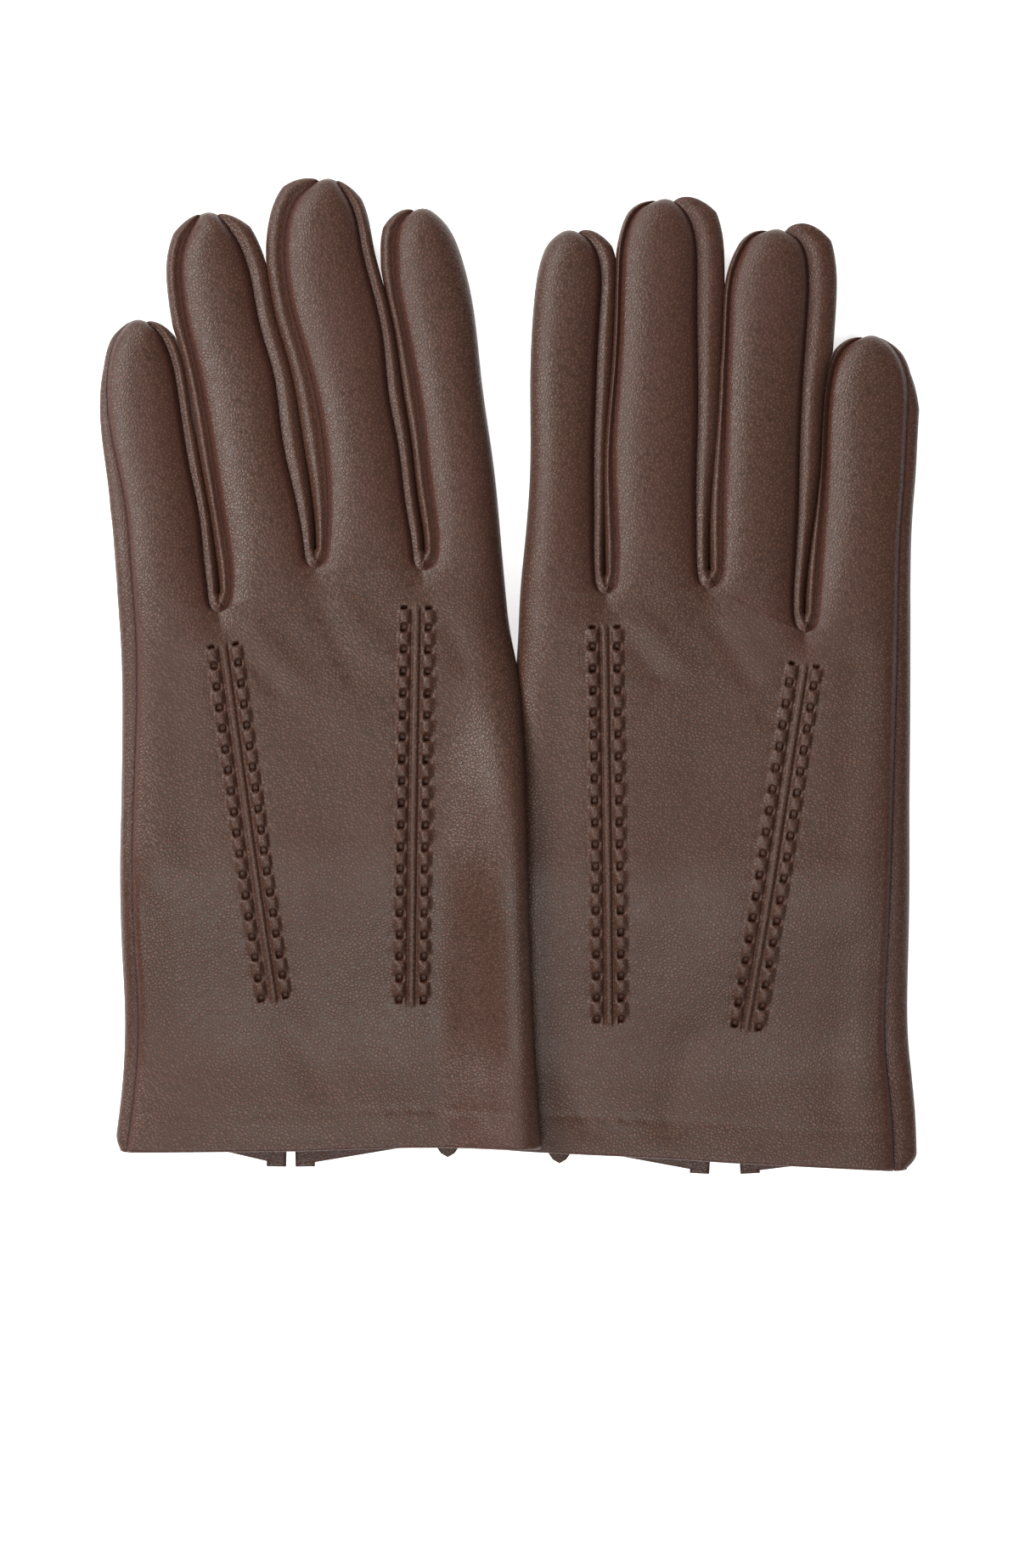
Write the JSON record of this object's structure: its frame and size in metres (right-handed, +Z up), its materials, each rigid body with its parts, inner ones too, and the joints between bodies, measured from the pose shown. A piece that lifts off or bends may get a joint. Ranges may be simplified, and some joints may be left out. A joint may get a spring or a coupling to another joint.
{
  "type": "pair of leather gloves",
  "caption": "Pair of dark brown lined leather dress gloves lying palm down, thumbs tucked under, with laced point lines on the backs and a slit cuff.",
  "frame": {"origin": "middle of the pair's footprint, at the level of the table that the gloves lie on", "axes": "+X from the left glove towards the right glove, +Y from the cuffs towards the fingertips, +Z up from the table through the backs of the gloves"},
  "size_m": [0.205, 0.2482, 0.0284],
  "materials": {
    "leather": "dark brown semi-matt nappa with a fine pebble grain",
    "lace": "dark brown leather lace, semi-matt",
    "lining": "dark brown brushed knit"
  },
  "bodies": {
    "right_hand": {"right_crotch_little_ring": "leather", "right_crotch_middle_index": "leather", "right_crotch_ring_middle": "leather", "right_hand_lining": "lining", "right_index_point_lace_inner": "lace", "right_index_point_lace_outer": "lace", "right_little_point_lace_inner": "lace", "right_little_point_lace_outer": "lace", "right_pull_tab": "leather", "right_trank": "leather", "right_vent_facing": "leather"},
    "right_index_finger": {"right_index_fourchette_leg": "leather", "right_index_lining": "lining", "right_index_stall": "leather"},
    "right_middle_finger": {"right_middle_back": "leather", "right_middle_fourchette_leg_index_side": "leather", "right_middle_fourchette_leg_little_side": "leather", "right_middle_lining": "lining", "right_middle_palm": "leather"},
    "right_ring_finger": {"right_ring_back": "leather", "right_ring_fourchette_leg_index_side": "leather", "right_ring_fourchette_leg_little_side": "leather", "right_ring_lining": "lining", "right_ring_palm": "leather"},
    "right_little_finger": {"right_little_back": "leather", "right_little_fourchette_leg": "leather", "right_little_lining": "lining", "right_little_palm": "leather"},
    "right_thumb": {"right_thumb_lining": "lining", "right_thumb_stall": "leather"},
    "left_hand": {"left_crotch_little_ring": "leather", "left_crotch_middle_index": "leather", "left_crotch_ring_middle": "leather", "left_hand_lining": "lining", "left_index_point_lace_inner": "lace", "left_index_point_lace_outer": "lace", "left_little_point_lace_inner": "lace", "left_little_point_lace_outer": "lace", "left_pull_tab": "leather", "left_trank": "leather", "left_vent_facing": "leather"},
    "left_index_finger": {"left_index_fourchette_leg": "leather", "left_index_lining": "lining", "left_index_stall": "leather"},
    "left_middle_finger": {"left_middle_back": "leather", "left_middle_fourchette_leg_index_side": "leather", "left_middle_fourchette_leg_little_side": "leather", "left_middle_lining": "lining", "left_middle_palm": "leather"},
    "left_ring_finger": {"left_ring_back": "leather", "left_ring_fourchette_leg_index_side": "leather", "left_ring_fourchette_leg_little_side": "leather", "left_ring_lining": "lining", "left_ring_palm": "leather"},
    "left_little_finger": {"left_little_back": "leather", "left_little_fourchette_leg": "leather", "left_little_lining": "lining", "left_little_palm": "leather"},
    "left_thumb": {"left_thumb_lining": "lining", "left_thumb_stall": "leather"}
  },
  "joints": [
    {"name": "right_index_curl", "type": "hinge", "parent": "right_hand", "child": "right_index_finger", "pos_m": [0.01423, 0.0264, 0.01605], "axis": [-0.9988, 0.0489, 0], "range_deg": [-25, 75]},
    {"name": "right_middle_curl", "type": "hinge", "parent": "right_hand", "child": "right_middle_finger", "pos_m": [0.03743, 0.02509, 0.01605], "axis": [-0.9979, 0.0654, 0], "range_deg": [-25, 75]},
    {"name": "right_ring_curl", "type": "hinge", "parent": "right_hand", "child": "right_ring_finger", "pos_m": [0.06293, 0.02315, 0.01605], "axis": [-0.9959, 0.0906, 0], "range_deg": [-25, 75]},
    {"name": "right_little_curl", "type": "hinge", "parent": "right_hand", "child": "right_little_finger", "pos_m": [0.08843, 0.02122, 0.01605], "axis": [-0.9979, 0.0645, 0], "range_deg": [-25, 75]},
    {"name": "right_thumb_spread", "type": "hinge", "parent": "right_hand", "child": "right_thumb", "pos_m": [0.02248, -0.04978, 0.0046], "axis": [0, 0, 1], "range_deg": [-10, 45]},
    {"name": "left_index_curl", "type": "hinge", "parent": "left_hand", "child": "left_index_finger", "pos_m": [-0.01177, 0.03477, 0.01605], "axis": [-0.9912, -0.1323, 0], "range_deg": [-25, 75]},
    {"name": "left_middle_curl", "type": "hinge", "parent": "left_hand", "child": "left_middle_finger", "pos_m": [-0.03497, 0.03179, 0.01605], "axis": [-0.9914, -0.1305, 0], "range_deg": [-25, 75]},
    {"name": "left_ring_curl", "type": "hinge", "parent": "left_hand", "child": "left_ring_finger", "pos_m": [-0.06047, 0.02811, 0.01605], "axis": [-0.9866, -0.1633, 0], "range_deg": [-25, 75]},
    {"name": "left_little_curl", "type": "hinge", "parent": "left_hand", "child": "left_little_finger", "pos_m": [-0.08597, 0.02462, 0.01605], "axis": [-0.9934, -0.1149, 0], "range_deg": [-25, 75]},
    {"name": "left_thumb_spread", "type": "hinge", "parent": "left_hand", "child": "left_thumb", "pos_m": [-0.01682, -0.04638, 0.0046], "axis": [0, 0, -1], "range_deg": [-10, 45]},
    {"name": "left_glove_lift", "type": "slide", "parent": "right_hand", "child": "left_hand", "axis": [0, 0, 1], "range_m": [0, 0.12]}
  ]
}
